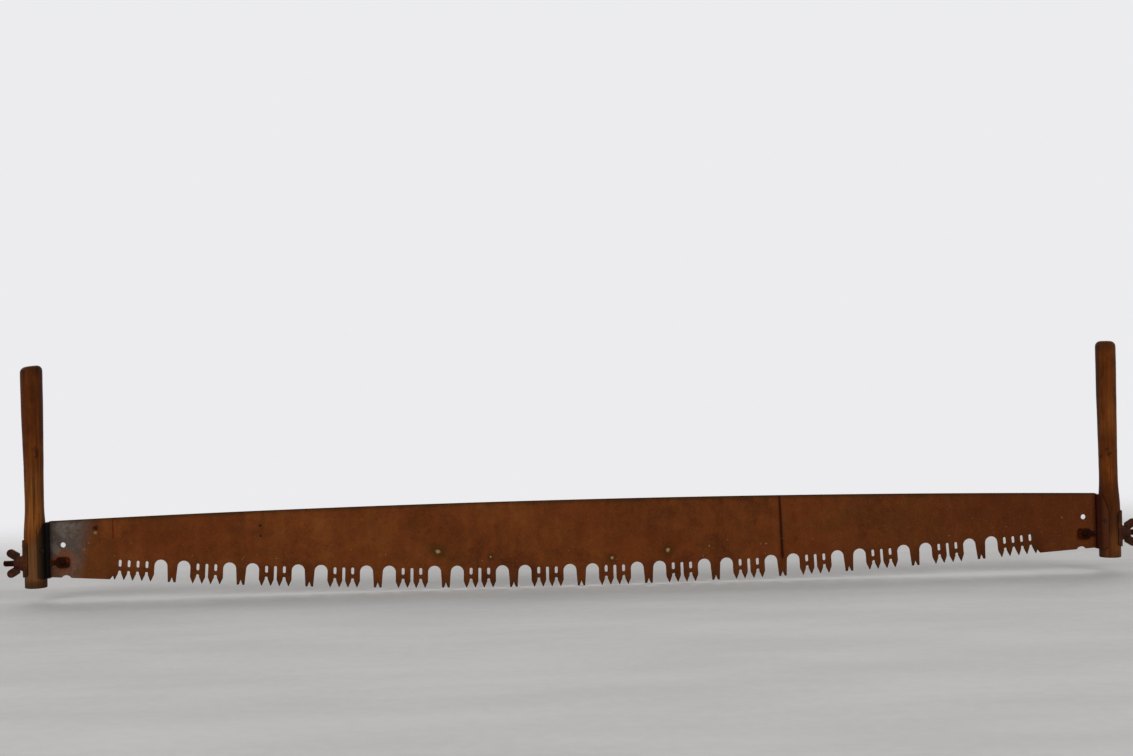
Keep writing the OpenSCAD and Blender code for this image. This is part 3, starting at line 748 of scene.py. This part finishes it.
fittingLook = {
    "guard_iron": {
        "skin": srgb(9, 6, 5), "worn": srgb(30, 22, 15), "rust": srgb(24, 15, 9),
        "share": 0.4, "roughness": 0.5, "specular": 0.06, "metal": 0.1, "bump": 0.35, "grain": 260,
        # cheek tone: partly the iron's own colour, partly painted shade
        "cheek": srgb(74, 48, 25), "cheekFrom": 0.841, "cheekWide": 0.014,
        "right": {"skin": srgb(44, 11, 4), "worn": srgb(60, 23, 11), "rust": srgb(60, 18, 7),
                  "cheek": srgb(86, 44, 22), "cheekFrom": 0.8375, "cheekWide": 0.009},
    },
    "plate_iron": {
        "skin": srgb(56, 28, 14), "worn": srgb(98, 60, 34), "rust": srgb(86, 45, 20),
        "share": 0.6, "roughness": 0.66, "specular": 0.05, "metal": 0.05, "bump": 0.4, "grain": 260,
    },
    "bolt_steel": {
        "skin": srgb(40, 15, 5), "worn": srgb(98, 46, 14), "rust": srgb(90, 38, 9),
        "share": 0.62, "roughness": 0.7, "specular": 0.03, "metal": 0.03, "bump": 0.45, "grain": 320,
        "right": {"skin": srgb(34, 11, 4), "worn": srgb(78, 31, 11), "rust": srgb(68, 24, 7)},
    },
    "pin_steel": {
        "skin": srgb(34, 12, 4), "worn": srgb(92, 42, 14), "rust": srgb(78, 31, 8),
        "share": 0.5, "roughness": 0.68, "specular": 0.03, "metal": 0.03, "bump": 0.4, "grain": 340,
        "right": {"skin": srgb(30, 10, 4), "worn": srgb(72, 28, 11), "rust": srgb(60, 20, 7)},
    },
    "washer_steel": {
        "skin": srgb(48, 28, 19), "worn": srgb(88, 58, 40), "rust": srgb(80, 42, 22),
        "share": 0.55, "roughness": 0.66, "specular": 0.06, "metal": 0.1, "bump": 0.35, "grain": 340,
    },
    "nut_iron": {
        "skin": srgb(50, 27, 18), "worn": srgb(98, 62, 44), "rust": srgb(80, 42, 25),
        "share": 0.55, "roughness": 0.62, "specular": 0.06, "metal": 0.05, "bump": 0.45, "grain": 260,
    },
    "screw_steel": {
        "skin": srgb(30, 21, 16), "worn": srgb(70, 52, 38), "rust": srgb(66, 35, 18),
        "share": 0.5, "roughness": 0.6, "specular": 0.1, "metal": 0.2, "bump": 0.3, "grain": 500,
    },
}


def rustyIron(name, look, iron):
    material, tree, shader, coords = startMaterial(name, look["specular"])
    cloud = clouds(tree, coords, iron["clouds"])
    cloud["cast"] = noise(tree, coords, look["grain"], roughness=iron["castRoughness"])
    tone = weighed(tree, 0.0, cloud, iron["toneShares"])
    rustFrom, rustTo = [start + less * look["share"] for start, less in (iron["rustLow"], iron["rustHigh"])]
    rusted = rise(tree, tone, rustFrom, rustTo)
    colour = over(tree, rusted, look["skin"], look["rust"])
    colour = edged(tree, colour, cloud["cast"], {**iron["speck"], "tint": look["skin"]})
    if "cheek" in look:                        # the guard's cheeks go from the wood's tone outside to the dark skin by the plate: partly the iron's own colour, partly painted shade
        outwards = calc(tree, "ABSOLUTE", axes(tree, coords)[0])
        cheek = {**iron["cheek"], "tint": look["cheek"],
                 "edge": (look["cheekFrom"], look["cheekFrom"] + look["cheekWide"])}
        colour = edged(tree, colour, outwards, cheek, cloud=cloud["broad"])
    corner = tree.nodes.new("ShaderNodeNewGeometry").outputs["Pointiness"]
    rubbed = {**iron["rubbed"], "tint": look["worn"]}
    colour = edged(tree, colour, corner, rubbed, rise(tree, cloud["broad"], *rubbed["broad"]))
    plug(tree, colour, shader.inputs["Base Color"])
    metal = pushed(tree, look["metal"], rusted, look["metal"] * iron["metalLoss"])
    plug(tree, metal, shader.inputs["Metallic"])
    rough = pushed(tree, look["roughness"] + iron["skinSmoother"], rusted, iron["rustRougher"])
    plug(tree, rough, shader.inputs["Roughness"])
    height = weighed(tree, 0.0, cloud, iron["relief"])
    roughen(tree, shader, height, look["bump"], iron["bumpDepth"])
    return material


finishes = {}
for slot, look in fittingLook.items():
    finish = slot.title().replace("_", "")
    finishes["left", slot] = rustyIron("left" + finish, look, ironLook)
    finishes["right", slot] = rustyIron("right" + finish, {**look, **look.get("right", {})}, ironLook)
print("fitting finishes made:", len(finishes))


# handles: turned by ring after ring, then worn uneven and bored for the bolt

gripShape = {
    "sides": 72,
    "buttRadius": 0.01705,
    "waistRadius": 0.01460,
    "topRadius": {"left": 0.01695, "right": 0.01605},
    "buttChamfer": 0.0011,
    "firstRing": 0.004,
    "buttLength": 0.078,
    "waistHeight": 0.128,
    "length": 0.3508,
    "topStraight": 0.03,
    "topTilt": {"left": math.radians(6), "right": math.radians(1.5)},
    "tiltFrom": 0.9,                           # share of the length below which nothing is worn aslant
    "corner": 0.009,
    "cornerSteps": (0, 18, 36, 52, 66, 78, 86),
    "crownInset": 0.5,
    "step": 0.0062,
    "bow": 0.00035,
    "bowWaves": 9,
    "bowStart": {"left": 1.2, "right": 2.6},
    "bowFrom": 0.1,
    "bowRun": 0.1,
    "wornFrom": 0.095,
    "wornRun": 0.05,
    "wearSize": 0.045,
    "wear": 0.0006,
    "wearMiddle": 0.62,
    "dentSize": 0.011,
    "dents": 0.00018,
    "dentMiddle": 0.7,
    "boreRadius": 0.00505,
    "boreLength": 0.06,
    "boreSides": 40,
    "smoothAngle": math.radians(40),
}


def eased(share):
    return 0.5 - 0.5 * math.cos(math.pi * held(share))


def gripRadius(height, shape, side):
    butt, waist, top = shape["buttRadius"], shape["waistRadius"], shape["topRadius"][side]
    if height < shape["waistHeight"]:
        share = (height - shape["buttLength"]) / (shape["waistHeight"] - shape["buttLength"])
        return butt + (waist - butt) * eased(share)
    share = (height - shape["waistHeight"]) / (shape["length"] - shape["topStraight"] - shape["waistHeight"])
    radius = waist + (top - waist) * eased(share)
    under = height - (shape["length"] - shape["corner"])
    if under > 0:
        radius -= shape["corner"] - math.sqrt(max(shape["corner"] ** 2 - under ** 2, 0))
    return radius


def gripSway(height, shape, side):             # a slight bow above the irons
    wave = math.sin(shape["bowWaves"] * height + shape["bowStart"][side])
    return shape["bow"] * wave * held((height - shape["bowFrom"]) / shape["bowRun"])


def gripHeights(shape):
    heights = [0, shape["buttChamfer"], shape["firstRing"]]
    while heights[-1] < shape["length"] - shape["corner"] - shape["step"]:
        heights.append(heights[-1] + shape["step"])
    for angle in shape["cornerSteps"]:
        heights.append(shape["length"] - shape["corner"] * (1 - math.sin(math.radians(angle))))
    return heights


def ringedGrip(side, shape, centre):           # one ring extruded from the other, butt to crown
    radius = gripRadius(0, shape, side) - shape["buttChamfer"]
    clearPick()
    bpy.ops.mesh.primitive_circle_add(vertices=shape["sides"], radius=radius, fill_type="NGON",
                                      location=centre)
    piece = bpy.context.object
    piece.name = side + "TurnedGrip"
    bpy.ops.object.transform_apply(location=True)
    bpy.ops.object.mode_set(mode="EDIT")
    bpy.ops.mesh.select_mode(type="FACE")
    bpy.ops.mesh.select_all(action="SELECT")
    before = Vector((0, 0, 0))
    for height in gripHeights(shape)[1:]:
        spot = Vector((gripSway(height, shape, side), 0, height))
        bpy.ops.mesh.extrude_region_move(TRANSFORM_OT_translate={"value": spot - before})
        wanted = gripRadius(height, shape, side)
        bpy.ops.transform.resize(value=(wanted / radius, wanted / radius, 1), center_override=centre + spot)
        radius, before = wanted, spot
    bpy.ops.mesh.inset(thickness=radius * shape["crownInset"])
    bpy.ops.transform.translate(value=(0, 0, shape["length"] - before.z))
    leaveMesh()
    return piece


def turnedGrip(side, shape):
    out = sides[side]
    centre = Vector((out * plan["gripX"], 0, plan["gripBottom"]))
    piece = ringedGrip(side, shape, centre)
    tilted = math.tan(shape["topTilt"][side])  # the upper end is worn down on its outer side
    tiltFrom = shape["tiltFrom"] * shape["length"]
    for point in piece.data.vertices:
        share = (point.co.z - centre.z - tiltFrom) / (shape["length"] - tiltFrom)
        outwards = shape["topRadius"][side] + out * (point.co.x - centre.x)
        point.co.z -= tilted * outwards * held(share)
    pickMesh(piece)
    bpy.ops.mesh.normals_make_consistent(inside=False)
    leaveMesh()

    # wear stays off the lower end, which sits in the irons
    upper = piece.vertex_groups.new(name="worn")
    for point in piece.data.vertices:
        high = (point.co.z - centre.z - shape["wornFrom"]) / shape["wornRun"]
        upper.add([point.index], held(high), "REPLACE")
    applied(piece, "SUBSURF", levels=1, render_levels=1)
    applied(piece, "DISPLACE", texture=unevenness(side + "Wear", shape["wearSize"]), strength=shape["wear"],
            mid_level=shape["wearMiddle"], texture_coords="LOCAL", vertex_group="worn")
    applied(piece, "DISPLACE", texture=unevenness(side + "Dents", shape["dentSize"]), strength=shape["dents"],
            mid_level=shape["dentMiddle"], texture_coords="LOCAL", vertex_group="worn")

    clearPick()
    bpy.ops.mesh.primitive_cylinder_add(vertices=shape["boreSides"], radius=shape["boreRadius"],
                                        depth=shape["boreLength"], rotation=(0, math.pi / 2, 0),
                                        location=(out * plan["gripX"], 0, plan["boltHeight"]))
    drill = bpy.context.object
    bpy.ops.object.transform_apply(location=True, rotation=True)
    applied(piece, "BOOLEAN", operation="DIFFERENCE", solver="EXACT", object=drill)
    bpy.data.objects.remove(drill)
    pickOnly(piece)
    bpy.ops.object.shade_smooth_by_angle(angle=shape["smoothAngle"])
    dress(piece, wornWood(side, woodLook))
    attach(piece, side + "_handle")
    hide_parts(side + "_grip")


for side in sides:
    turnedGrip(side, gripShape)
print("grips turned")


# cast and forged fittings: the drawn solid with its edges rounded and its skin a little uneven

castShape = {
    "guard": {"name": "CastGuard", "body": "_handle", "slot": "guard_iron", "voxel": 0.00050,
              "rounding": 5, "skin": 0.00022, "skinSize": 0.006},
    "outer_plate": {"name": "CurvedPlate", "body": "_handle", "slot": "plate_iron", "voxel": 0.00042,
                    "rounding": 5, "skin": 0.00020, "skinSize": 0.006},
    "washer": {"name": "RoundWasher", "body": "_handle", "slot": "washer_steel", "voxel": 0.00030,
               "rounding": 4, "skin": 0.00010, "skinSize": 0.004},
    "wing_nut": {"name": "CastWingNut", "body": "_wing_nut", "slot": "nut_iron", "voxel": 0.00036,
                 "rounding": 9, "skin": 0.00026, "skinSize": 0.004},
    "cross_pin": {"name": "HammeredPin", "body": "_cross_pin", "slot": "pin_steel", "voxel": 0.00028,
                  "rounding": 5, "skin": 0.00014, "skinSize": 0.003},
}
smoothing = {"factor": 0.5, "skinMiddle": 0.66}


def softened(piece, shape):
    applied(piece, "REMESH", mode="VOXEL", voxel_size=shape["voxel"])
    applied(piece, "SMOOTH", factor=smoothing["factor"], iterations=shape["rounding"])
    applied(piece, "DISPLACE", texture=unevenness(piece.name + "Skin", shape["skinSize"]),
            strength=shape["skin"], mid_level=smoothing["skinMiddle"], texture_coords="LOCAL")
    pickOnly(piece)
    bpy.ops.object.shade_smooth()


for side in sides:
    for nodeName, shape in castShape.items():
        piece = closedCopy(f"{side}_{nodeName}", side + shape["name"])
        softened(piece, shape)
        dress(piece, finishes[side, shape["slot"]])
        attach(piece, side + shape["body"])
        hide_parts(f"{side}_{nodeName}")
print("cast fittings rounded")


# bolts: a forged eye and shank, with a cut thread at the outer end

boltShape = {
    "voxel": 0.00036,
    "rounding": 5,
    "skin": 0.00016,
    "skinSize": 0.004,
    "pitch": 0.0015875,
    "ridge": [(0, 0.00385), (0.42, 0.00470), (0.58, 0.00470), (1, 0.00385)],      # share of pitch, radius
    "turns": 17,
    "steps": 32,
    "seamGap": 0.000002,
    "endSpare": 0.001,
    "endRound": 0.0006,
    "endNeck": 0.97,
    "endTaper": 0.8,
    "cutBack": 0.0003,
    "smoothAngle": math.radians(32),
}


def ridgeProfile(shape, start):                # a plane's four corners laid out as one ridge of thread
    clearPick()
    bpy.ops.mesh.primitive_plane_add(size=shape["pitch"], location=(start, 0, plan["boltHeight"]))
    piece = bpy.context.object
    corners = [0, 1, 3, 2]                     # walked round the plane
    for index, (along, radius) in zip(corners, shape["ridge"]):
        piece.data.vertices[index].co = (along * shape["pitch"], 0, radius)
    bpy.ops.object.mode_set(mode="EDIT")
    bpy.ops.mesh.delete(type="ONLY_FACE")
    bpy.ops.mesh.select_mode(type="EDGE")
    bpy.ops.mesh.select_all(action="DESELECT")
    leaveMesh()
    for edge in piece.data.edges:
        edge.select = set(edge.vertices) == {corners[0], corners[-1]}
    bpy.ops.object.mode_set(mode="EDIT")
    bpy.ops.mesh.delete(type="EDGE")
    leaveMesh()
    return piece


def closeEnd(piece, shape, middle, x, atTip):  # one open end of the thread, necked and closed
    bpy.ops.object.mode_set(mode="EDIT")
    bpy.ops.mesh.select_mode(type="EDGE")
    bpy.ops.mesh.select_all(action="DESELECT")
    bpy.ops.mesh.select_non_manifold(extend=False, use_wire=False, use_boundary=True, use_multi_face=False,
                                     use_non_contiguous=False, use_verts=False)
    leaveMesh()
    for edge in piece.data.edges:
        outer = piece.data.vertices[edge.vertices[0]].co.x > middle
        edge.select = edge.select and outer == atTip
    bpy.ops.object.mode_set(mode="EDIT")
    spot = Vector((x, 0, plan["boltHeight"]))
    neck, taper = shape["endNeck"], shape["endTaper"]
    bpy.ops.mesh.extrude_edges_move()
    bpy.ops.transform.resize(value=(0, neck, neck), center_override=spot)
    bpy.ops.mesh.extrude_edges_move()
    bpy.ops.transform.resize(value=(1, taper, taper), center_override=spot)
    bpy.ops.transform.translate(value=(shape["endRound"] if atTip else 0, 0, 0))
    bpy.ops.mesh.extrude_edges_move()
    bpy.ops.mesh.merge(type="CENTER")
    leaveMesh()


def threadedEnd(shape):
    start = plan["boltEnd"] - shape["endSpare"] - (shape["turns"] + 1) * shape["pitch"]
    piece = ridgeProfile(shape, start)
    applied(piece, "SCREW", axis="X", angle=2 * math.pi, screw_offset=shape["pitch"],
            iterations=shape["turns"], steps=shape["steps"], render_steps=shape["steps"],
            use_merge_vertices=True, merge_threshold=shape["seamGap"])
    bpy.ops.object.transform_apply(location=True)
    middle = start + shape["turns"] * shape["pitch"] / 2
    closeEnd(piece, shape, middle, start, False)
    closeEnd(piece, shape, middle, plan["boltEnd"] - shape["endRound"], True)
    pickMesh(piece)
    bpy.ops.mesh.remove_doubles(threshold=plan["mergeGap"])
    bpy.ops.mesh.normals_make_consistent(inside=False)
    leaveMesh()
    bpy.ops.object.shade_smooth_by_angle(angle=shape["smoothAngle"])
    return piece


def drawnBolt(side, shape, thread):
    out = sides[side]
    piece = closedCopy(side + "_draw_bolt", side + "DrawBolt")
    pickMesh(piece)
    cut = (out * (plan["nutBase"] - shape["cutBack"]), 0, 0)
    bpy.ops.mesh.bisect(plane_co=cut, plane_no=(out, 0, 0), use_fill=True, clear_outer=True)
    leaveMesh()
    softened(piece, shape)
    own = ownCopy(thread, side + "Thread")
    if out < 0:                                # turned round, so that it stays a right-hand thread
        pickOnly(own)
        own.rotation_euler = (0, 0, math.pi)
        bpy.ops.object.transform_apply(rotation=True)
    pickOnly(piece)
    own.select_set(True)
    bpy.ops.object.join()
    dress(piece, finishes[side, "bolt_steel"])
    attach(piece, "blade_with_bolts")
    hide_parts(side + "_draw_bolt")


thread = threadedEnd(boltShape)
for side in sides:
    drawnBolt(side, boltShape, thread)
bpy.data.objects.remove(thread)
print("bolts threaded")


# screws keep their drawn shape

for side in sides:
    for name in ("guard_screw_front", "guard_screw_back", "plate_screw"):
        dress(nodes[f"{side}_{name}"], finishes[side, "screw_steel"])
print("screws dressed")

print("cad box", [round(v, 4) for corner in cadBox for v in corner])
